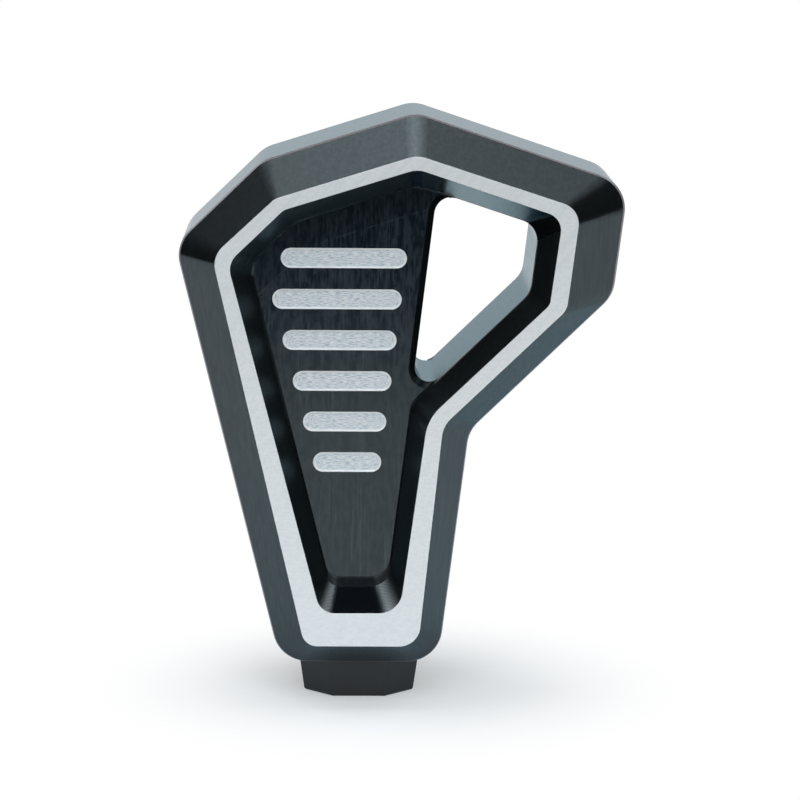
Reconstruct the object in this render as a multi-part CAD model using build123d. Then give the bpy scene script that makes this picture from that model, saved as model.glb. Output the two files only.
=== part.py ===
from build123d import *
import os
from math import radians, tan

# Gear shift knob milled from one aluminium billet, with the grub screw that locks it on its lever.
# Millimetres. +Z points up the lever bore, X runs across the palm grip and -Y faces the driver.
# The origin is the centre of the bore's mouth, on the flat foot of the collar.

# Thickness, measured from the middle plane outwards
side_wall_half = 12.7
chamfer_depth = 6.35
pocket_depth = 6.35
face_half = side_wall_half + chamfer_depth
floor_half = face_half - pocket_depth

# Corners of the side wall's outline, anticlockwise: across, up
left_shoulder = (-16.85, 93.4)
upper_left = (-31.5, 79.15)
foot_half_width = 13.6
collar_height = 7.05
waist = (18.5, 47.5)
lower_right = (42.6, 70.9)
right_shoulder = (44.9, 89.7)
apex = (9.05, 101.6)
side_wall_corners = [
    left_shoulder,
    upper_left,
    (-foot_half_width, collar_height),
    (foot_half_width, collar_height),
    waist,
    lower_right,
    right_shoulder,
    apex,
]

# Widths of the outer chamfer, the flat band and the pocket wall along each side of that outline.
# A pair gives the width at the side's first and second corner, seen square to the face.
chamfer_widths = {
    "upper left": (5.8, 5.35),
    "left": (6.05, 5.15),
    "foot": (4.25, 4.25),
    "stem right": (4.05, 4.85),
    "underside": (4.65, 4.55),
    "right": (8.0, 8.0),
    "top right": (5.95, 6.25),
    "top left": (6.3, 6.2),
}
band_widths = {
    "upper left": (2.35, 2.6),
    "left": (2.2, 4.0),
    "foot": (5.7, 5.8),
    "stem right": (3.95, 2.7),
    "underside": (2.6, 2.55),
    "right": (2.9, 2.7),
    "top right": (2.35, 2.15),
    "top left": (2.2, 2.2),
}
pocket_wall_widths = {
    "upper left": (2.92, 3.0),
    "left": (2.97, 2.2),
    "foot": (3.4, 3.4),
    "stem right": (2.2, 2.6),
    "underside": (2.85, 3.0),
    "right": (3.1, 3.35),
    "top right": (3.04, 3.06),
    "top left": (2.82, 2.94),
}
side_names = list(pocket_wall_widths)

# Corner radii of the outlines, in the order of the corners
side_corner_radius = 6.0
side_wall_radii = [side_corner_radius] * len(side_wall_corners)
band_outer_radii = [2.5, 4.2, 2.7, 3.6, 4.9, 3.4, 3.6, 5.0]
band_inner_radii = [2.5, 3.5, 3.2, 4.0, 8.0, 2.0, 3.0, 4.4]
pocket_foot_radii = [6.5, 4.8, 2.3, 3.4, 3.6, 4.4, 3.6, 7.2]
edge_break = 0.25
floor_fillet = 0.35
foot_ramp = 1.65

# Finger opening, whose inner side is the web's edge, parallel to the right side
opening_width = 17.75
opening_top_radius = 3.0
opening_low_radius = 2.4
web_rim_chamfer = 1.1

# Tapered eight-sided collar
collar_foot_half = 9.45
collar_corner_cut = 4.85
collar_draft = 7.8
collar_sink = 2.0
collar_foot_rounding = 0.6

# Blind bore for the lever
bore_radius = 6.35
bore_depth = 31.75
drill_point_angle = 118

# Grub screw in the floor of the back pocket
screw_height = 25.4
screw_radius = 2.5
screw_length = 6.0
screw_thread_gap = 0.05
screw_end_gap = 0.1
screw_end_chamfer = 0.4
screw_cup_radius = 1.25
screw_cup_depth = 0.7
hex_across_flats = 2.5
hex_depth = 2.5

# Level bars milled into the front pocket's floor
bar_count = 6
bar_width = 3.2
bar_pitch = 7.0
bar_depth = 0.4
lowest_bar_height = 42.0
bar_end_margin = 2.7


def shifted_sides(corners, widths):
    """Each side of an outline, moved inwards by its pair of widths, as a pair of points."""
    sides = []
    for index, (first_width, second_width) in enumerate(widths):
        start = Vector(*corners[index])
        end = Vector(*corners[(index + 1) % len(corners)])
        inward = (end - start).normalized().rotate(Axis.Z, 90)
        sides.append((start + inward * first_width, end + inward * second_width))
    return sides


def crossing(first_side, second_side):
    """The point where two sides, drawn on as straight lines, cross."""
    start, run = first_side[0], first_side[1] - first_side[0]
    other_start, other_run = second_side[0], second_side[1] - second_side[0]
    gap = other_start - start
    share = (gap.X * other_run.Y - gap.Y * other_run.X) / (run.X * other_run.Y - run.Y * other_run.X)
    meeting = start + run * share
    return (meeting.X, meeting.Y)


def inset(corners, widths):
    """The outline's corners once each side has moved inwards; negative widths move it outwards."""
    sides = shifted_sides(corners, widths)
    return [crossing(sides[index - 1], sides[index]) for index in range(len(sides))]


def between(first, second, share):
    """Corners or radii a given share of the way from one outline to another."""
    if isinstance(first[0], tuple):
        return [tuple(a + (b - a) * share for a, b in zip(p, q)) for p, q in zip(first, second)]
    return [a + (b - a) * share for a, b in zip(first, second)]


band_outer_corners = inset(side_wall_corners, chamfer_widths.values())
band_inner_corners = inset(band_outer_corners, band_widths.values())
pocket_foot_corners = inset(band_inner_corners, pocket_wall_widths.values())


def outline(corners, radii, depth):
    """A flat face with rounded corners, standing upright at a depth behind the middle plane."""
    upright = Plane(origin=(0, depth, 0), x_dir=(1, 0, 0), z_dir=(0, -1, 0))
    return upright * make_face(FilletPolyline(*corners, radius=radii, close=True))


def foot_side(name):
    """One side of the outline at the foot of the pocket's wall, as its pair of corners."""
    first = side_names.index(name)
    second = (first + 1) % len(side_names)
    return (Vector(*pocket_foot_corners[first]), Vector(*pocket_foot_corners[second]))


def opening_corners():
    """Upper web, lower web, lower right and right shoulder corners of the finger opening."""
    right = foot_side("right")
    inward = (right[1] - right[0]).normalized().rotate(Axis.Z, 90)
    web_edge = (right[0] + inward * opening_width, right[1] + inward * opening_width)
    return [
        crossing(web_edge, foot_side("top right")),
        crossing(web_edge, foot_side("underside")),
        crossing(foot_side("underside"), right),
        crossing(right, foot_side("top right")),
    ]


def billet():
    """The outer form: a side wall all round, with a sloping chamfer to each face."""
    half_break = edge_break / chamfer_depth
    break_corners = between(side_wall_corners, band_outer_corners, half_break)
    break_radii = between(side_wall_radii, band_outer_radii, half_break)
    front = [
        outline(band_outer_corners, band_outer_radii, -face_half),
        outline(break_corners, break_radii, -side_wall_half - edge_break),
        outline(side_wall_corners, side_wall_radii, -side_wall_half + edge_break),
    ]
    front_half = loft(front, ruled=True)
    middle = extrude(front[-1], amount=-2 * (side_wall_half - edge_break))
    return front_half + middle + mirror(front_half, about=Plane.XZ)


def collar():
    """Eight-sided collar that widens upwards into the foot of the knob."""
    top = collar_height + collar_sink
    sections = []
    for height in (0, top):
        half = collar_foot_half + height * tan(radians(collar_draft))
        square = Pos(0, 0, height) * Rectangle(2 * half, 2 * half)
        sections.append(chamfer(square.vertices(), collar_corner_cut))
    tapered = loft(sections, ruled=True)
    return fillet(tapered.faces().sort_by(Axis.Z)[0].edges(), collar_foot_rounding)


def pocket():
    """Sloping pocket in the front face, its floor met by a small fillet and, at the foot, a ramp."""
    floor_widths = [(floor_fillet, floor_fillet)] * len(side_names)
    floor_widths[side_names.index("foot")] = (foot_ramp, foot_ramp)
    floor_corners = inset(pocket_foot_corners, floor_widths)
    return loft(
        [
            outline(band_inner_corners, band_inner_radii, -face_half),
            outline(pocket_foot_corners, pocket_foot_radii, -floor_half - floor_fillet),
            outline(floor_corners, pocket_foot_radii, -floor_half),
        ],
        ruled=True,
    )


def finger_opening():
    """Straight-walled opening through the web, with a chamfered rim where it leaves the floor."""
    corners = opening_corners()
    lower_right_radius = pocket_foot_radii[side_names.index("right")]
    right_shoulder_radius = pocket_foot_radii[side_names.index("top right")]
    radii = [opening_top_radius, opening_low_radius, lower_right_radius, right_shoulder_radius]
    through = extrude(outline(corners, radii, face_half), amount=2 * face_half)
    rim_corners = inset(corners, [(-web_rim_chamfer, -web_rim_chamfer)] * len(corners))
    rim_radii = [radius + web_rim_chamfer for radius in radii]
    flare = loft(
        [
            outline(rim_corners, rim_radii, -floor_half),
            outline(corners, radii, -floor_half + web_rim_chamfer),
        ],
        ruled=True,
    )
    floor_column = extrude(outline(pocket_foot_corners, pocket_foot_radii, 0), amount=floor_half)
    rim = flare & floor_column
    return through + rim + mirror(rim, about=Plane.XZ)


def bore():
    """Blind drilled bore up the collar, ending in a drill point."""
    tip = bore_radius / tan(radians(drill_point_angle / 2))
    section = Polyline(
        (0, 0), (bore_radius, 0), (bore_radius, bore_depth), (0, bore_depth + tip), close=True
    )
    return revolve(Plane.XZ * make_face(section), axis=Axis.Z)


def screw_hole():
    """Hole from the back pocket's floor through to the bore."""
    radius = screw_radius + screw_thread_gap
    axis_plane = Plane(origin=(0, 0, screw_height), z_dir=(0, 1, 0))
    return extrude(axis_plane * Circle(radius), amount=floor_half + edge_break)


def bars():
    """Level bars with round ends, each as long as the floor is wide at its height."""
    web_corners = opening_corners()
    web_edge = (Vector(*web_corners[1]), Vector(*web_corners[0]))
    cutters = []
    for index in range(bar_count):
        height = lowest_bar_height + index * bar_pitch
        level = (Vector(0, height), Vector(1, height))
        left_end = crossing(level, foot_side("left"))[0]
        brow = (Vector(0, height + bar_width / 2), Vector(1, height + bar_width / 2))
        left_end = max(left_end, crossing(brow, foot_side("upper left"))[0])
        stem_end = crossing(level, foot_side("stem right"))[0]
        web_end = crossing(level, web_edge)[0] - web_rim_chamfer
        right_end = min(stem_end, web_end) - bar_end_margin
        left_end += bar_end_margin
        upright = Plane(origin=(0, -floor_half, 0), x_dir=(1, 0, 0), z_dir=(0, -1, 0))
        slot = Pos((left_end + right_end) / 2, height) * SlotOverall(right_end - left_end, bar_width)
        cutters.append(extrude(upright * slot, amount=bar_depth, both=True))
    return cutters


def knob_body():
    """The milled knob in one piece."""
    body = billet() + collar()
    front_pocket = pocket()
    body = body - front_pocket - mirror(front_pocket, about=Plane.XZ)
    body = body - finger_opening() - bore() - screw_hole()
    return body - bars()


def grub_screw():
    """Socket grub screw with a cup point, its inner end just outside the bore."""
    profile = Polyline(
        (0, screw_cup_depth),
        (screw_cup_radius, 0),
        (screw_radius - screw_end_chamfer, 0),
        (screw_radius, screw_end_chamfer),
        (screw_radius, screw_length - screw_end_chamfer),
        (screw_radius - screw_end_chamfer, screw_length),
        (0, screw_length),
        close=True,
    )
    screw = revolve(Plane.XZ * make_face(profile), axis=Axis.Z)
    socket = RegularPolygon(hex_across_flats / 2, 6, major_radius=False)
    screw -= Pos(0, 0, screw_length - hex_depth) * extrude(socket, amount=hex_depth)
    return Pos(0, bore_radius + screw_end_gap, screw_height) * Rot(X=-90) * screw


os.makedirs("parts", exist_ok=True)
export_step(knob_body(), "parts/knob_body.step")
export_step(grub_screw(), "parts/grub_screw.step")
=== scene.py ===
import math
import bmesh
import bpy
import numpy as np
from mathutils import Matrix, Vector


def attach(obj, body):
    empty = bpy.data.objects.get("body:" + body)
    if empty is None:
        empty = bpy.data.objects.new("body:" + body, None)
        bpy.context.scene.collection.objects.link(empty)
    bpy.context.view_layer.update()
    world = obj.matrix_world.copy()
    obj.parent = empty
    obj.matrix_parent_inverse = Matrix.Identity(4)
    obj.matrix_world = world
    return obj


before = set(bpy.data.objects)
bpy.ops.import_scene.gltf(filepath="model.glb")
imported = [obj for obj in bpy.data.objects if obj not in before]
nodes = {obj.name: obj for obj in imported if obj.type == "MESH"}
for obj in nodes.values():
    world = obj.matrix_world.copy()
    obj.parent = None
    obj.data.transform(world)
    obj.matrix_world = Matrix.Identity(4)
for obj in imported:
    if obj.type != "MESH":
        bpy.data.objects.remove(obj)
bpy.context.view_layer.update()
print("frame loaded:", sorted(nodes))

mm = 0.001
white = (1.0, 1.0, 1.0, 1.0)


def metres(lengths):
    return [length * mm for length in lengths]


# small helpers for node trees

def addNode(tree, kind, **settings):
    node = tree.nodes.new(kind)
    for name, value in settings.items():
        setattr(node, name, value)
    return node


def plug(tree, target, value):
    # a socket is linked, anything else becomes the input's own value
    if isinstance(value, bpy.types.NodeSocket):
        tree.links.new(value, target)
    else:
        target.default_value = value


def calculate(tree, operation, first, second=0.0, clamp=False):
    node = addNode(tree, "ShaderNodeMath", operation=operation, use_clamp=clamp)
    plug(tree, node.inputs[0], first)
    plug(tree, node.inputs[1], second)
    return node.outputs[0]


def product(tree, first, *others):
    # of masks it is where all of them hold
    for other in others:
        first = calculate(tree, "MULTIPLY", first, other)
    return first


def total(tree, first, *others):
    for other in others:
        first = calculate(tree, "ADD", first, other)
    return first


def difference(tree, first, second, clamp=False):
    return calculate(tree, "SUBTRACT", first, second, clamp)


def opposite(tree, mask):
    return difference(tree, 1.0, mask)


def absolute(tree, value):
    return calculate(tree, "ABSOLUTE", value)


def above(tree, value, level):
    return calculate(tree, "GREATER_THAN", value, level)


def below(tree, value, level):
    return calculate(tree, "LESS_THAN", value, level)


def between(tree, value, low, high):
    return product(tree, above(tree, value, low), below(tree, value, high))


def ramp(tree, value, low, high, start=0.0, end=1.0, kind="SMOOTHSTEP"):
    node = addNode(tree, "ShaderNodeMapRange", interpolation_type=kind)
    names = ("Value", "From Min", "From Max", "To Min", "To Max")
    for name, item in zip(names, (value, low, high, start, end)):
        plug(tree, node.inputs[name], item)
    return node.outputs["Result"]


def mixColour(tree, share, first, second):
    # the mix node's colours are its inputs 6 and 7, and the mixed one its output 2
    node = addNode(tree, "ShaderNodeMix", data_type="RGBA")
    plug(tree, node.inputs["Factor"], share)
    plug(tree, node.inputs[6], first)
    plug(tree, node.inputs[7], second)
    return node.outputs[2]


def mixValue(tree, share, first, second):
    node = addNode(tree, "ShaderNodeMix", data_type="FLOAT")
    plug(tree, node.inputs["Factor"], share)
    plug(tree, node.inputs[2], first)
    plug(tree, node.inputs[3], second)
    return node.outputs[0]


def split(tree, vector):
    node = addNode(tree, "ShaderNodeSeparateXYZ")
    plug(tree, node.inputs[0], vector)
    return [node.outputs[axis] for axis in "XYZ"]


def vectorMath(tree, operation, first, second=None, output="Vector"):
    node = addNode(tree, "ShaderNodeVectorMath", operation=operation)
    plug(tree, node.inputs[0], first)
    if second is not None:
        plug(tree, node.inputs[1], second)
    return node.outputs[output]


def bumped(tree, amount, height, normal=None):
    strength, depth = amount
    bump = addNode(tree, "ShaderNodeBump")
    bump.inputs["Strength"].default_value = strength
    bump.inputs["Distance"].default_value = depth * mm
    plug(tree, bump.inputs["Height"], height)
    if normal is not None:
        plug(tree, bump.inputs["Normal"], normal)
    return bump.outputs[0]


def newGroup(name, inputs, outputs):
    group = bpy.data.node_groups.new(name, "ShaderNodeTree")
    for label, kind, value in inputs:
        socket = group.interface.new_socket(name=label, in_out="INPUT", socket_type=kind)
        if value is not None:
            socket.default_value = value
    for label, kind in outputs:
        group.interface.new_socket(name=label, in_out="OUTPUT", socket_type=kind)
    return group, group.nodes.new("NodeGroupInput"), group.nodes.new("NodeGroupOutput")


def placeGroup(tree, group, **values):
    node = addNode(tree, "ShaderNodeGroup", node_tree=group)
    for name, value in values.items():
        plug(tree, node.inputs[name], value)
    return node


def newMaterial(name):
    material = bpy.data.materials.new(name)
    material.use_nodes = True
    tree = material.node_tree
    shader = tree.nodes["Principled BSDF"]
    return material, tree, shader


def gridObject(name, points, closed=False, uv=None):
    # points is (sheets x) rows x columns x 3 in mm; closed joins the last column to the first
    index = np.arange(points[..., 0].size).reshape(points.shape[:-1])
    if closed:
        index = np.concatenate([index, index[..., :1]], -1)
    corners = [index[..., :-1, :-1], index[..., 1:, :-1], index[..., 1:, 1:], index[..., :-1, 1:]]
    faces = np.stack(corners, -1).reshape(-1, 4)
    mesh = bpy.data.meshes.new(name)
    mesh.from_pydata(points.reshape(-1, 3) * mm, [], faces.tolist())
    if uv is not None:
        layer = mesh.uv_layers.new(name="marks")
        owners = np.zeros(len(mesh.loops), np.int32)
        mesh.loops.foreach_get("vertex_index", owners)
        layer.data.foreach_set("uv", uv.reshape(-1, 2)[owners].astype(np.float32).ravel())
    mesh.update()
    piece = bpy.data.objects.new(name, mesh)
    bpy.context.scene.collection.objects.link(piece)
    return piece


# camera: worked out from the photograph's edges

cameraSettings = {
    "place": (-4.19, -565.66, 146.24),        # mm
    "right": (0.99980, -0.01823, 0.00827),    # across the picture
    "forward": (0.01936, 0.98583, -0.16663),  # into it
    "lens": 148.5,                            # mm
    "sensor": 36.0,                           # mm across
    "sees": (0.01, 50.0),                     # m, from near to far
}


def makeCamera(settings):
    data = bpy.data.cameras.new("camera")
    data.sensor_width = settings["sensor"]
    data.sensor_fit = "HORIZONTAL"
    data.lens = settings["lens"]
    data.clip_start, data.clip_end = settings["sees"]
    camera = bpy.data.objects.new("camera", data)
    bpy.context.scene.collection.objects.link(camera)
    forward = Vector(settings["forward"]).normalized()
    right = Vector(settings["right"])
    right = (right - forward * right.dot(forward)).normalized()
    up = right.cross(forward)
    turn = Matrix((right, up, -forward)).transposed().to_4x4()
    camera.matrix_world = Matrix.Translation(Vector(metres(settings["place"]))) @ turn
    bpy.context.scene.camera = camera


makeCamera(cameraSettings)
bpy.context.scene.view_settings.view_transform = "Standard"
print("camera placed")

# studio: a white backdrop, a soft strip lamp overhead, a lamp in front, two small ones behind, a dim room

studioSettings = {
    "backdropStrength": 1.0,
    "backdropBehind": (0.15, 0.5),    # how far behind the knob's plane the backdrop begins and is full
    "backdropTop": (0.35, 0.7),       # how high up it fades out
    "backdropFoot": 0.62,             # its share of that strength at the horizon
    "backdropRise": (0.1, 0.3),       # and how high up the share grows to the whole
    "lampStrength": 2.95,
    "lampAcross": -0.05,              # where the strip lamp's middle lies, as shares of its height
    "lampAlong": -0.02,
    "lampReach": 0.33,                # it fades to half this far across
    "lampWidth": (0.13, 0.29),        # front to back it is full up to the one and ends at the other
    "lampRise": (0.05, 0.2),          # nothing of it is seen below the one height, all of it over the other
    "lampLowest": 0.02,               # keeps the shares finite at the horizon
    "frontStrength": 3.8,             # a weak front lamp, high over the camera
    "frontTowards": (0.0, -0.75, 0.65),
    "frontAngles": (8.0, 31.0),       # degrees from its middle, where it is full and where it ends
    "rimStrength": 2.5,               # two small lamps behind, left and right
    "rimTowards": ((-0.55, 0.50, 0.67), (0.55, 0.50, 0.67)),
    "rimAngles": (4.0, 13.0),
    "roomStrength": 0.04,
    "tint": (0.97, 0.99, 1.0, 1.0),
}


def roundLamp(tree, heading, towards, angles, strength):
    # smooth fall-off from the inner angle to the outer one
    inner, outer = [math.cos(math.radians(angle)) for angle in angles]
    facing = vectorMath(tree, "DOT_PRODUCT", heading, Vector(towards).normalized(), "Value")
    return ramp(tree, facing, outer, inner, 0.0, strength)


def stripLamp(tree, heading, settings):
    # strength x reach^2 / (reach^2 + across^2), cut off softly front to back, on a plane overhead
    x, y, z = split(tree, heading)
    height = calculate(tree, "MAXIMUM", z, settings["lampLowest"])
    across = difference(tree, calculate(tree, "DIVIDE", x, height), settings["lampAcross"])
    along = difference(tree, calculate(tree, "DIVIDE", y, height), settings["lampAlong"])
    square = settings["lampReach"] ** 2
    spread = total(tree, product(tree, across, across), square)
    fade = calculate(tree, "DIVIDE", settings["lampStrength"] * square, spread)
    width = ramp(tree, absolute(tree, along), *settings["lampWidth"], 1.0, 0.0)
    return product(tree, fade, width, ramp(tree, z, *settings["lampRise"]))


def whiteBackdrop(tree, heading, settings):
    y, z = split(tree, heading)[1:]
    behind = ramp(tree, y, *settings["backdropBehind"], 0.0, settings["backdropStrength"])
    top = ramp(tree, z, *settings["backdropTop"], 1.0, 0.0)
    foot = ramp(tree, z, *settings["backdropRise"], settings["backdropFoot"], 1.0)
    return product(tree, behind, top, foot)


def makeStudio(settings):
    # how bright it is depends on the direction alone; the camera sees it as plain white
    world = bpy.data.worlds.new("studio")
    bpy.context.scene.world = world
    world.use_nodes = True
    tree = world.node_tree
    background = tree.nodes["Background"]
    heading = addNode(tree, "ShaderNodeTexCoord").outputs["Generated"]
    lights = [whiteBackdrop(tree, heading, settings), stripLamp(tree, heading, settings)]
    for towards in settings["rimTowards"]:
        lights.append(roundLamp(tree, heading, towards, settings["rimAngles"], settings["rimStrength"]))
    front = (settings["frontTowards"], settings["frontAngles"], settings["frontStrength"])
    lights.append(roundLamp(tree, heading, *front))
    light = total(tree, settings["roomStrength"], *lights)
    toCamera = addNode(tree, "ShaderNodeLightPath").outputs["Is Camera Ray"]
    plug(tree, background.inputs["Color"], mixColour(tree, toCamera, settings["tint"], white))
    plug(tree, background.inputs["Strength"], mixValue(tree, toCamera, light, 1.0))


makeStudio(studioSettings)

# table: a matt pale one that turns plain white away from the knob

floorSettings = {
    "front": 440.0,                   # mm, the table's edge towards the camera
    "side": 900.0,
    "back": 2500.0,
    "lines": 13,                      # of its grid, each way
    "colour": (0.605, 0.64, 0.67, 1.0),
    "lift": 0.36,                     # light added for the camera, so that the lit table is white
    "glossLift": (0.24, 0.38),        # and where it is mirrored, close to the knob and further off
    "glossReach": (12.0, 60.0),       # mm from the shadow's middle, where the one turns into the other
    "mirrored": (0.25, 1.0),          # m, between these a mirrored table falls off
    "mirroredShare": 0.84,            # to this share
    "middle": (5.0, 0.0, 0.0),        # mm, the shadow's middle
    "white": (12.0, 54.0),            # mm from there, where plain white begins and is full
    "whiteMirrored": (40.0, 130.0),
}


def makeTable(settings):
    # a flat grid at height zero: x and y run along its two directions
    across = np.linspace(-settings["side"], settings["side"], settings["lines"])
    along = np.linspace(-settings["front"], settings["back"], settings["lines"])
    x, y = np.meshgrid(across, along, indexing="ij")
    floor = gridObject("table", np.stack([x, y, np.zeros_like(x)], -1))
    floor.data.materials.append(makePale(settings))


def makePale(settings):
    material, tree, shader = newMaterial("paleTable")
    tree.nodes.remove(shader)
    place = addNode(tree, "ShaderNodeTexCoord").outputs["Object"]
    middle = Vector(metres(settings["middle"]))
    distance = vectorMath(tree, "DISTANCE", place, middle, "Value")
    # seen is 1 for what the camera sees, also by way of gloss or glass, 0 for what lights a matt surface
    path = addNode(tree, "ShaderNodeLightPath").outputs
    toCamera = path["Is Camera Ray"]
    seen = calculate(tree, "MAXIMUM", toCamera, path["Is Glossy Ray"])
    seen = calculate(tree, "MAXIMUM", seen, path["Is Transmission Ray"])

    matt = addNode(tree, "ShaderNodeBsdfDiffuse")
    matt.inputs["Color"].default_value = settings["colour"]
    glow = addNode(tree, "ShaderNodeEmission")
    glow.inputs["Color"].default_value = white
    mirrored = ramp(tree, distance, *metres(settings["glossReach"]), *settings["glossLift"])
    lift = mixValue(tree, toCamera, mirrored, settings["lift"])
    plug(tree, glow.inputs["Strength"], product(tree, seen, lift))
    lifted = addNode(tree, "ShaderNodeAddShader")
    plug(tree, lifted.inputs[0], matt.outputs[0])
    plug(tree, lifted.inputs[1], glow.outputs[0])

    plain = addNode(tree, "ShaderNodeEmission")
    plain.inputs["Color"].default_value = white
    farOff = ramp(tree, distance, *settings["mirrored"], 1.0, settings["mirroredShare"])
    plug(tree, plain.inputs["Strength"], mixValue(tree, toCamera, farOff, 1.0))
    ends = zip(metres(settings["whiteMirrored"]), metres(settings["white"]))
    begins, full = [mixValue(tree, toCamera, mirroredEnd, seenEnd) for mirroredEnd, seenEnd in ends]
    surface = addNode(tree, "ShaderNodeMixShader")
    plug(tree, surface.inputs[0], product(tree, seen, ramp(tree, distance, begins, full)))
    plug(tree, surface.inputs[1], lifted.outputs[0])
    plug(tree, surface.inputs[2], plain.outputs[0])
    plug(tree, tree.nodes["Material Output"].inputs["Surface"], surface.outputs[0])
    return material


makeTable(floorSettings)
print("studio and table made")

# finishes

toolMarkSettings = {
    "detail": 3.0,
    "roughness": 0.6,
    "crossing": 0.5,                  # the noise's value along a scratch
    "scratchWidth": 0.022,            # how far from that value it fades
}


def makeToolMarks(settings):
    # fine straight streaks: noise stretched along one direction, 0 to 1; scratches where it crosses a value
    group, entry, leave = newGroup(
        "toolMarks",
        [
            ("Vector", "NodeSocketVector", None),
            ("Across", "NodeSocketVector", (1, 1, 1)),
            ("Scale", "NodeSocketFloat", 1.0),
        ],
        [("Lines", "NodeSocketFloat"), ("Scratches", "NodeSocketFloat")],
    )
    stretched = vectorMath(group, "MULTIPLY", entry.outputs["Vector"], entry.outputs["Across"])
    noise = addNode(group, "ShaderNodeTexNoise", noise_dimensions="3D")
    plug(group, noise.inputs["Vector"], stretched)
    plug(group, noise.inputs["Scale"], entry.outputs["Scale"])
    noise.inputs["Detail"].default_value = settings["detail"]
    noise.inputs["Roughness"].default_value = settings["roughness"]
    plug(group, leave.inputs["Lines"], noise.outputs["Fac"])
    crossing = absolute(group, difference(group, noise.outputs["Fac"], settings["crossing"]))
    plug(group, leave.inputs["Scratches"], ramp(group, crossing, 0.0, settings["scratchWidth"], 1.0, 0.0))
    return group


toolMarks = makeToolMarks(toolMarkSettings)

# the body: black anodising, and bare metal where bands were milled afterwards

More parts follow.
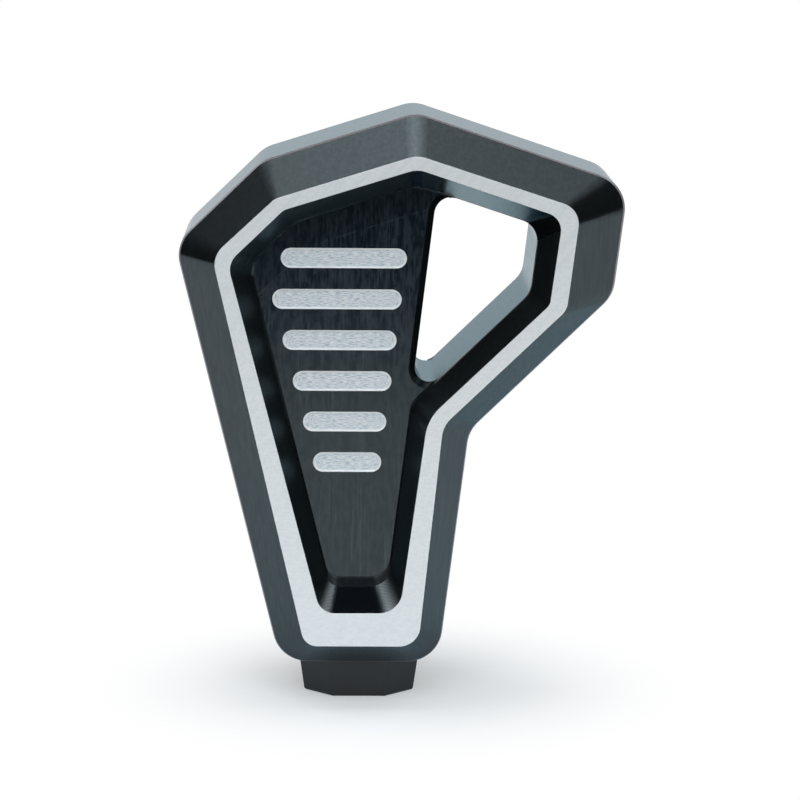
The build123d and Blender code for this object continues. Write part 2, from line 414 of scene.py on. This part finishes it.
anodisedSettings = {
    # where its faces lie, in mm from the middle plane, and how square they are to the thickness, 0 to 1
    "bandLevel": 19.02,               # the bare faces lie beyond this
    "floorLevel": (12.63, 12.77),     # the pockets' floors
    "floorSquare": 0.9,
    "edgeLevel": (12.44, 12.955),     # the broken edges between side wall and chamfer, where a highlight is painted
    "edgeSquare": (0.2, 0.68),
    "wallSquare": (0.1, 0.534),       # the pockets' sloping walls, less square than the outer chamfers
    "browTilt": (-0.7, -0.8),         # those over the pockets: how far down they face, in part and in full
    "apexTurn": (0.0, 0.22),          # how far right they face where the right-hand one turns into the left
    "footHeight": 30.0,               # mm, the foot's wall and ramp lie below this
    "footTilt": 0.3,                  # and the wall faces up more than this
    "footTurn": (0.1, 0.4),           # how far sideways it faces where its middle turns into its corners
    "glintTurn": ((0.08, 0.4), (0.48, 0.84)),     # and where the painted glint on them begins and ends
    "rampLevel": (12.72, 13.04),      # the ramp between floor and foot wall
    "rampSquare": (0.93, 0.995),
    "rampTurn": (0.02, 0.09),
    "opening": (21.0, 0.0, 77.0),     # mm, the middle of the finger opening
    "openingSquare": 0.05,            # its inside stands less square than this
    "openingRim": (12.5, 13.32),      # mm, the painted highlight on its rim lies right of the one and below the other
    "collarHeights": (8.0, 13.0),     # mm, between these the low black turns into the upper one

    # tool marks: their stretch along x, y and z, and their scale
    "uprightMarks": ((1.0, 1.0, 0.04), 2400.0),
    "wideMarks": ((1.0, 1.0, 0.05), 1400.0),
    "shortMarks": ((1.0, 1.0, 0.14), 2000.0),
    "patchMarks": ((1.0, 1.0, 0.45), 1100.0),
    "mottleMarks": ((1.0, 1.0, 0.35), 520.0),
    "scratchMarks": ((1.0, 1.0, 0.02), 700.0),
    "brushedMarks": ((1.0, 0.25, 0.25), 3000.0),
    "grainMarks": ((0.3, 1.0, 1.0), 3600.0),
    "speckMarks": ((1.0, 1.0, 1.0), 1800.0),
    "hatchMarks": ((0.04, 1.0, 1.0), 1500.0),
    "hatchTurn": 50.0,                # degrees, how the hatching slants
    "scallop": 0.42,                  # mm between the cutter's steps at the foot
    "streakRange": (0.38, 0.62),      # the noise between these values becomes 0 to 1
    "patchRange": (0.4, 0.6),
    "mottleRange": (0.36, 0.6),
    "grainRange": (0.36, 0.62),
    "hatchRange": (0.40, 0.50),

    # the black outside
    "black": ((0.0485, 0.0595, 0.0635, 1.0), (0.062, 0.073, 0.078, 1.0)),
    "lowBlack": (0.056, 0.058, 0.061, 1.0),       # the foot's chamfer and the collar
    # a painted highlight along the broken edges
    "edge": (0.37, 0.335, 0.355, 1.0),
    # a painted highlight on the opening's rim
    "rim": (0.5, 0.43, 0.37, 1.0),
    "blackMetallic": (0.9, 0.75),     # outside, and on the pockets' floors
    "blackRoughness": 0.145,
    "lowRoughness": 0.46,
    "edgeRoughness": 0.5,
    "openingRoughness": 0.215,
    "blackIndex": 1.65,
    "grazingTint": (0.69, 0.90, 1.0, 1.0),        # what the black turns to when seen flat

    # the pockets' floors
    "floorBlack": ((0.038, 0.048, 0.053, 1.0), (0.049, 0.060, 0.065, 1.0)),
    "floorHighPaintedReflection": ((0.010, 0.021, 0.032, 1.0), (0.048, 0.066, 0.082, 1.0)),
    "floorRise": (45.0, 80.0),        # mm, heights between which the lower colours turn into the darker, bluer upper ones, a painted reflection of the dark room in front
    "blotchShares": (0.25, 0.35, 0.4),            # of streaks, short marks and patches
    "blotchRange": (0.2, 0.8),
    # the scratches' colour, also that of the painted highlight along the floor's top edges
    "scratchesAndEdgeHighlight": (0.105, 0.13, 0.15, 1.0),
    "scratchStrength": (0.28, 0.6),   # low down and high up
    "floorRoughness": 0.2,
    "floorTopEdges": ((-0.302, 0.953, 78.0), (-0.697, 0.717, 62.8)),   # the floor's top edges: share across, share up, mm
    "beyondTopEdgesBlack": (0.008, 0.014, 0.020, 1.0),      # the floor beyond them
    "beyondTopEdgesFade": 0.3,                  # mm from an edge to full strength
    "beyondTopEdgesShare": 0.35,                # which is this
    "topEdgeHighlight": (0.03, 0.14),         # mm, half the width of the painted highlight along them, full and faded
    "topEdgeHighlightStrength": 0.55,
    "topEdgeHighlightBreaks": (0.35, 0.55),         # the mottle breaks that painted highlight up under these values

    # the pockets' walls
    "wallRoughness": 0.36,
    "brow": ((0.16, 0.163, 0.15, 1.0), (0.024, 0.028, 0.028, 1.0)),   # over the opening, left and right: a painted reflection, light on its left and dark on its right
    "browFrom": 10.0,                 # mm across, where that wall begins
    "browTurns": (18.0, 28.5),        # and where the one colour turns into the other
    "browRoughness": (0.22, 0.5),     # over the pockets, right and left of the apex
    "dish": (0.17, 0.14),             # how much their shading leans as if slightly dished, right and left
    "footPaintedShade": (0.017, 0.018, 0.023, 1.0),      # the flat middle of the foot's wall, painted near black as shade
    "cornersWithPaintedGlint": (0.64, 0.68, 0.70, 1.0),            # and the painted glint on its corners
    "turnedSteps": (0.78, 1.0),       # their strength between the cutter's steps and on them
    "footRoughness": (0.13, 0.5),     # middle and corners
    "rampPaintedShade": (0.024, 0.027, 0.032, 1.0),      # the ramp over it: painted shade in the middle, a painted glint in the corners
    "rampPaintedGlint": (0.15, 0.16, 0.17, 1.0),
    "rampSteps": (0.7, 1.0),

    # the bare bands
    "bare": ((0.89, 0.935, 0.96, 1.0), (0.96, 0.99, 1.0, 1.0)),
    "bareRoughness": 0.6,
    "hatchHeights": (60.0, 85.0),     # mm, between these the hatching grows
    "hatchStrength": (0.15, 0.9),     # from the one to the other

    # how far the marks change the roughness of black and bare metal, and how deep they look
    "fineRoughness": 0.12,
    "grainRoughness": 0.2,
    "bump": (0.25, 0.02),             # strength, and depth in mm
}


def findFaces(tree, place, settings):
    # the place and the way of looking of each point, and masks that are 1 on the faces they are named for
    x, y, z = split(tree, place)
    geometry = addNode(tree, "ShaderNodeNewGeometry").outputs
    square = absolute(tree, split(tree, geometry["True Normal"])[1])
    rightwards, upwards = split(tree, geometry["Normal"])[::2]    # its x and z
    depth = absolute(tree, y)
    aside = absolute(tree, rightwards)
    at = {"x": x, "y": y, "z": z, "aside": aside, "normal": geometry["Normal"]}
    at["raised"] = ramp(tree, z, *metres(settings["collarHeights"]))
    at["leftHand"] = ramp(tree, rightwards, *settings["apexTurn"])
    at["cornersWithPaintedGlint"] = ramp(tree, aside, *settings["footTurn"])

    def layer(levels, squareness):
        inLevels = between(tree, depth, *metres(levels))
        return product(tree, inLevels, between(tree, square, *squareness))

    on = {"band": above(tree, depth, settings["bandLevel"] * mm)}
    floorLevels = between(tree, depth, *metres(settings["floorLevel"]))
    on["floor"] = product(tree, floorLevels, above(tree, square, settings["floorSquare"]))
    on["edge"] = layer(settings["edgeLevel"], settings["edgeSquare"])
    on["wall"] = layer((settings["edgeLevel"][1], settings["bandLevel"]), settings["wallSquare"])
    on["brow"] = product(tree, on["wall"], ramp(tree, upwards, *settings["browTilt"]))
    low = below(tree, z, settings["footHeight"] * mm)
    on["foot"] = product(tree, low, on["wall"], above(tree, upwards, settings["footTilt"]))
    begins, ends = settings["glintTurn"]
    glint = product(tree, ramp(tree, aside, *begins), ramp(tree, aside, *ends, 1.0, 0.0))
    on["glint"] = product(tree, on["foot"], glint)
    on["ramp"] = product(tree, low, layer(settings["rampLevel"], settings["rampSquare"]))
    rimFrom, rimLevel = metres(settings["openingRim"])
    on["rim"] = product(tree, on["wall"], above(tree, x, rimFrom), below(tree, depth, rimLevel))
    inwards = vectorMath(tree, "SUBTRACT", Vector(metres(settings["opening"])), place)
    facing = vectorMath(tree, "DOT_PRODUCT", inwards, geometry["True Normal"], "Value")
    sides = below(tree, square, settings["openingSquare"])
    on["opening"] = product(tree, above(tree, facing, 0.0), sides)
    return at, on


def layMarks(tree, place, at, settings):
    def lines(name, output="Lines", where=place):
        stretch, scale = settings[name]
        return placeGroup(tree, toolMarks, Vector=where, Across=stretch, Scale=scale).outputs[output]

    marks = {"upright": mixValue(tree, 0.5, lines("uprightMarks"), lines("wideMarks"))}
    marks["brushed"] = lines("brushedMarks")
    marks["grain"] = mixValue(tree, 0.5, lines("grainMarks"), lines("speckMarks"))
    marks["streak"] = ramp(tree, marks["upright"], *settings["streakRange"])
    marks["short"] = ramp(tree, lines("shortMarks"), *settings["streakRange"])
    marks["patches"] = ramp(tree, lines("patchMarks"), *settings["patchRange"])
    marks["mottle"] = lines("mottleMarks")
    worn = ramp(tree, marks["mottle"], *settings["mottleRange"])
    marks["scratches"] = product(tree, lines("scratchMarks", "Scratches"), worn)
    turns = product(tree, at["z"], 2 * math.pi / (settings["scallop"] * mm))
    marks["steps"] = calculate(tree, "SINE", turns)
    slant = addNode(tree, "ShaderNodeMapping")
    plug(tree, slant.inputs["Vector"], place)
    slant.inputs["Rotation"].default_value = (0.0, math.radians(settings["hatchTurn"]), 0.0)
    marks["hatch"] = lines("hatchMarks", "Lines", slant.outputs[0])
    return marks


def colourFloors(tree, at, marks, settings):
    shares = zip((marks["streak"], marks["short"], marks["patches"]), settings["blotchShares"])
    blotch = total(tree, *[product(tree, mark, share) for mark, share in shares])
    blotch = ramp(tree, blotch, *settings["blotchRange"])
    # higher up the floor gets darker, bluer colours: a painted reflection of the dark room in front of it
    rise = ramp(tree, at["z"], *metres(settings["floorRise"]))
    lower = mixColour(tree, blotch, *settings["floorBlack"])
    upper = mixColour(tree, blotch, *settings["floorHighPaintedReflection"])
    milled = mixColour(tree, rise, lower, upper)
    scratched = product(tree, marks["scratches"], mixValue(tree, rise, *settings["scratchStrength"]))
    milled = mixColour(tree, scratched, milled, settings["scratchesAndEdgeHighlight"])

    # the floor's top edges: the larger of two distances, across x share + up x share - level; darker beyond
    # them, with a thin painted highlight along them
    distances = []
    for across, up, level in settings["floorTopEdges"]:
        along = total(tree, product(tree, at["x"], across), product(tree, at["z"], up))
        distances.append(difference(tree, along, level * mm))
    beyond = calculate(tree, "MAXIMUM", *distances)
    shade = ramp(tree, beyond, 0.0, settings["beyondTopEdgesFade"] * mm, 0.0, settings["beyondTopEdgesShare"])
    milled = mixColour(tree, shade, milled, settings["beyondTopEdgesBlack"])
    topEdgeHighlightLine = ramp(tree, absolute(tree, beyond), *metres(settings["topEdgeHighlight"]), settings["topEdgeHighlightStrength"], 0.0)
    topEdgeHighlightLine = product(tree, topEdgeHighlightLine, ramp(tree, marks["mottle"], *settings["topEdgeHighlightBreaks"]))
    return mixColour(tree, topEdgeHighlightLine, milled, settings["scratchesAndEdgeHighlight"])


def colourBlack(tree, at, on, marks, settings):
    upper = mixColour(tree, marks["streak"], *settings["black"])
    black = mixColour(tree, at["raised"], settings["lowBlack"], upper)
    black = mixColour(tree, on["floor"], black, colourFloors(tree, at, marks, settings))
    # painted shade: the flat middle of the foot's wall is coloured near black
    footMiddlePaintedShade = product(tree, on["foot"], opposite(tree, at["cornersWithPaintedGlint"]))
    black = mixColour(tree, footMiddlePaintedShade, black, settings["footPaintedShade"])
    # the ramp: painted shade in its middle, a painted glint in its corners, broken by the cutter's steps
    rampCorners = ramp(tree, at["aside"], *settings["rampTurn"])
    rampShadeAndGlint = mixColour(tree, rampCorners, settings["rampPaintedShade"], settings["rampPaintedGlint"])
    stepped = ramp(tree, marks["steps"], -1.0, 1.0, *settings["rampSteps"], "LINEAR")
    black = mixColour(tree, product(tree, on["ramp"], stepped), black, rampShadeAndGlint)
    # the wall over the opening gets a painted reflection, light on its left and dark on its right
    paintedReflectionOverOpening = product(tree, on["brow"], opposite(tree, at["leftHand"]))
    paintedReflectionOverOpening = product(tree, paintedReflectionOverOpening, above(tree, at["x"], settings["browFrom"] * mm))
    brow = mixColour(tree, ramp(tree, at["x"], *metres(settings["browTurns"])), *settings["brow"])
    black = mixColour(tree, paintedReflectionOverOpening, black, brow)
    # a painted highlight along the broken edges
    black = mixColour(tree, on["edge"], black, settings["edge"])
    # a painted highlight on the opening's rim
    black = mixColour(tree, on["rim"], black, settings["rim"])
    # a painted glint on the foot's corners, broken by the cutter's steps
    stepped = ramp(tree, marks["steps"], -1.0, 1.0, *settings["turnedSteps"], "LINEAR")
    return mixColour(tree, product(tree, on["glint"], stepped), black, settings["cornersWithPaintedGlint"])


def colourBare(tree, at, marks, settings):
    strength = ramp(tree, at["z"], *metres(settings["hatchHeights"]), *settings["hatchStrength"])
    lines = product(tree, ramp(tree, marks["hatch"], *settings["hatchRange"], 1.0, 0.0), strength)
    grain = ramp(tree, marks["grain"], *settings["grainRange"])
    return mixColour(tree, difference(tree, grain, lines, True), *settings["bare"])


def roughen(tree, at, on, marks, fine, settings):
    outer = mixValue(tree, at["raised"], settings["lowRoughness"], settings["blackRoughness"])
    outer = mixValue(tree, on["opening"], outer, settings["openingRoughness"])
    outer = mixValue(tree, on["floor"], outer, settings["floorRoughness"])
    brow = mixValue(tree, at["leftHand"], *settings["browRoughness"])
    wall = mixValue(tree, on["brow"], settings["wallRoughness"], brow)
    wall = mixValue(tree, on["foot"], wall, mixValue(tree, at["cornersWithPaintedGlint"], *settings["footRoughness"]))
    black = mixValue(tree, on["wall"], outer, wall)
    broken = calculate(tree, "MAXIMUM", on["edge"], on["rim"])
    black = mixValue(tree, broken, black, settings["edgeRoughness"])

    def varied(roughness, mark, amount):
        # roughness + (mark - middle) x amount, where a mark's middle is a half
        return total(tree, roughness, product(tree, difference(tree, mark, 0.5), amount))

    black = varied(black, fine, settings["fineRoughness"])
    bare = varied(settings["bareRoughness"], marks["grain"], settings["grainRoughness"])
    return mixValue(tree, on["band"], black, bare)


def leanBrows(tree, at, on, settings):
    # the walls over the pockets: normal - sign(y) x dish along y
    lean = mixValue(tree, at["leftHand"], *[-amount for amount in settings["dish"]])
    lean = product(tree, calculate(tree, "SIGN", at["y"]), lean)
    offset = addNode(tree, "ShaderNodeCombineXYZ")
    plug(tree, offset.inputs["Y"], product(tree, on["brow"], lean))
    leaning = vectorMath(tree, "ADD", at["normal"], offset.outputs[0])
    return vectorMath(tree, "NORMALIZE", leaning)


def makeAnodised(settings):
    material, tree, shader = newMaterial("blackAnodised")
    place = addNode(tree, "ShaderNodeTexCoord").outputs["Object"]
    at, on = findFaces(tree, place, settings)
    marks = layMarks(tree, place, at, settings)
    fine = mixValue(tree, on["floor"], marks["brushed"], marks["upright"])
    black = colourBlack(tree, at, on, marks, settings)
    bare = colourBare(tree, at, marks, settings)
    plug(tree, shader.inputs["Base Color"], mixColour(tree, on["band"], black, bare))
    metallic = mixValue(tree, on["floor"], *settings["blackMetallic"])
    plug(tree, shader.inputs["Metallic"], mixValue(tree, on["band"], metallic, 1.0))
    plug(tree, shader.inputs["Roughness"], roughen(tree, at, on, marks, fine, settings))
    shader.inputs["IOR"].default_value = settings["blackIndex"]
    shader.inputs["Specular Tint"].default_value = settings["grazingTint"]
    height = mixValue(tree, on["band"], fine, marks["grain"])
    normal = bumped(tree, settings["bump"], height, leanBrows(tree, at, on, settings))
    plug(tree, shader.inputs["Normal"], normal)
    return material


screwSettings = {
    "marks": ((1.0, 1.0, 1.0), 2500.0),
    "steel": ((0.035, 0.036, 0.04, 1.0), (0.08, 0.082, 0.086, 1.0)),
    "metallic": 0.9,
    "noise": (0.2, 0.8),
    "roughness": (0.3, 0.5),
}


def makeScrewSteel(settings):
    material, tree, shader = newMaterial("screwSteel")
    place = addNode(tree, "ShaderNodeTexCoord").outputs["Object"]
    stretch, scale = settings["marks"]
    grain = placeGroup(tree, toolMarks, Vector=place, Across=stretch, Scale=scale).outputs["Lines"]
    plug(tree, shader.inputs["Base Color"], mixColour(tree, grain, *settings["steel"]))
    shader.inputs["Metallic"].default_value = settings["metallic"]
    roughness = ramp(tree, grain, *settings["noise"], *settings["roughness"], "LINEAR")
    plug(tree, shader.inputs["Roughness"], roughness)
    return material


finishes = {"knob_body": makeAnodised(anodisedSettings), "grub_screw": makeScrewSteel(screwSettings)}
for name, material in finishes.items():
    mesh = nodes[name].data
    mesh.materials.clear()
    mesh.materials.append(material)
print("finishes made")

# level bars: one bare inlay over the bottom, wall and lip of each recess in the front pocket's floor

barSettings = {
    "lowest": 42.0,                   # mm, height of the lowest bar's middle
    "pitch": 7.0,
    "width": 3.2,
    "count": 6,
    "recessLevel": 12.3,              # mm from the middle plane to the recesses' bottoms
    "floorLevel": 12.7,               # and to the pocket's floor
    "tolerance": 0.01,                # mm, how exactly a point has to lie on a bottom to count
    "proud": (0.015, 0.01),           # mm, how far the inlay stands clear of bottom and floor
    "clear": 0.01,                    # mm, and of the wall
    "lip": 0.1,                       # mm, how far it reaches over the floor
    "bottomRings": 9,                 # from the middle line to the wall
    "roundSteps": 24,                 # points round each end
    "straightSteps": 40,              # and along each side
    "apart": 100.0,                   # mm, how far each bar's marks lie from the next one's
    "lipMarks": (0.3, 0.5),           # mm beyond the side, where the two rings on top lie in the marks
    "marks": ((0.12, 1.0, 1.0), 8.0),
    "marksRange": (0.35, 0.58),
    "paintedRimHighlight": (0.35, 0.15),        # mm inside the edge, where the painted highlight on the rim begins and is full
    "bright": (0.95, 0.985, 1.0, 1.0),
    "dark": (0.48, 0.62, 0.72, 1.0),
    "noise": (0.2, 0.8),
    "roughness": (0.48, 0.66),
    "bump": (0.3, 0.02),              # strength, and depth in mm
    "joined": 0.001,                  # mm, points closer than this become one
}


def barEnds(settings):
    # the lowest and highest x among the solid's own points on each recess's bottom
    mesh = nodes["knob_body"].data
    points = np.zeros(3 * len(mesh.vertices), np.float32)
    mesh.vertices.foreach_get("co", points)
    points = points.reshape(-1, 3) / mm
    bottom = points[np.abs(points[:, 1] + settings["recessLevel"]) < settings["tolerance"]]
    row = np.round((bottom[:, 2] - settings["lowest"]) / settings["pitch"]).astype(int)
    left, right = np.full(settings["count"], np.inf), np.full(settings["count"], -np.inf)
    np.minimum.at(left, row, bottom[:, 0])
    np.maximum.at(right, row, bottom[:, 0])
    return left, right


def barSurfaces(settings):
    # bars x rings x points: every ring keeps one distance from the bar's middle line
    left, right = barEnds(settings)
    print("bars run from", left.round(3), "to", right.round(3))
    half = settings["width"] / 2
    count, rings = settings["count"], settings["bottomRings"]
    height = settings["lowest"] + settings["pitch"] * np.arange(count)
    # round the right end, back along the top, round the left end, on along below; along is 1 at the right
    turn = np.linspace(-math.pi / 2, math.pi / 2, settings["roundSteps"])
    share = np.linspace(0, 1, settings["straightSteps"] + 2)[1:-1]
    straight = np.full(share.size, math.pi / 2)
    angle = np.concatenate([turn, straight, turn + math.pi, -straight])
    along = np.concatenate([np.ones(turn.size), 1 - share, np.zeros(turn.size), share])
    # the bottom's rings, then one up at the wall's top and one out on the lip
    wall = half - settings["clear"]
    distance = np.concatenate([np.linspace(0, wall, rings), [wall, half + settings["lip"]]])
    bottomLevel = settings["recessLevel"] + settings["proud"][0]
    topLevel = settings["floorLevel"] + settings["proud"][1]
    depth = np.concatenate([np.full(rings, bottomLevel), np.full(2, topLevel)])
    first, last = left + half, right - half
    middle = first[:, None] + (last - first)[:, None] * along
    x = middle[:, None, :] + distance[:, None] * np.cos(angle)
    z = height[:, None, None] + distance[:, None] * np.sin(angle)
    y = np.broadcast_to(-depth[:, None], x.shape)
    # marks: how far round the bar, and how far out from its middle line
    steps = np.hypot(np.diff(middle + half * np.cos(angle), axis=1), np.diff(half * np.sin(angle)))
    around = np.concatenate([np.zeros((count, 1)), np.cumsum(steps, 1)], 1)
    around = around + settings["apart"] * np.arange(count)[:, None]
    out = np.concatenate([distance[:rings], [half + beyond for beyond in settings["lipMarks"]]])
    uv = np.stack(np.broadcast_arrays(around[:, None, :], out[:, None]), -1)
    return np.stack([x, y, z], -1), uv


def makeBareMilled(settings):
    material, tree, shader = newMaterial("bareMilled")
    marks = addNode(tree, "ShaderNodeUVMap", uv_map="marks").outputs[0]
    stretch, scale = settings["marks"]
    streaks = placeGroup(tree, toolMarks, Vector=marks, Across=stretch, Scale=scale).outputs["Lines"]
    # a painted highlight round each bar's rim
    begins, full = [settings["width"] / 2 - inside for inside in settings["paintedRimHighlight"]]
    rim = ramp(tree, split(tree, marks)[1], begins, full)
    tone = calculate(tree, "MAXIMUM", ramp(tree, streaks, *settings["marksRange"]), rim)
    plug(tree, shader.inputs["Base Color"], mixColour(tree, tone, settings["dark"], settings["bright"]))
    shader.inputs["Metallic"].default_value = 1.0
    roughness = ramp(tree, streaks, *settings["noise"], *settings["roughness"], "LINEAR")
    plug(tree, shader.inputs["Roughness"], roughness)
    plug(tree, shader.inputs["Normal"], bumped(tree, settings["bump"], streaks))
    return material


def makeBars(settings):
    points, uv = barSurfaces(settings)
    piece = gridObject("bar_inlays", points, closed=True, uv=uv)
    # the innermost ring lies on the middle line: its two sides are joined there
    shape = bmesh.new()
    shape.from_mesh(piece.data)
    bmesh.ops.remove_doubles(shape, verts=shape.verts, dist=settings["joined"] * mm)
    shape.to_mesh(piece.data)
    shape.free()
    piece.data.materials.append(makeBareMilled(settings))
    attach(piece, "root")


makeBars(barSettings)
print("bars made")
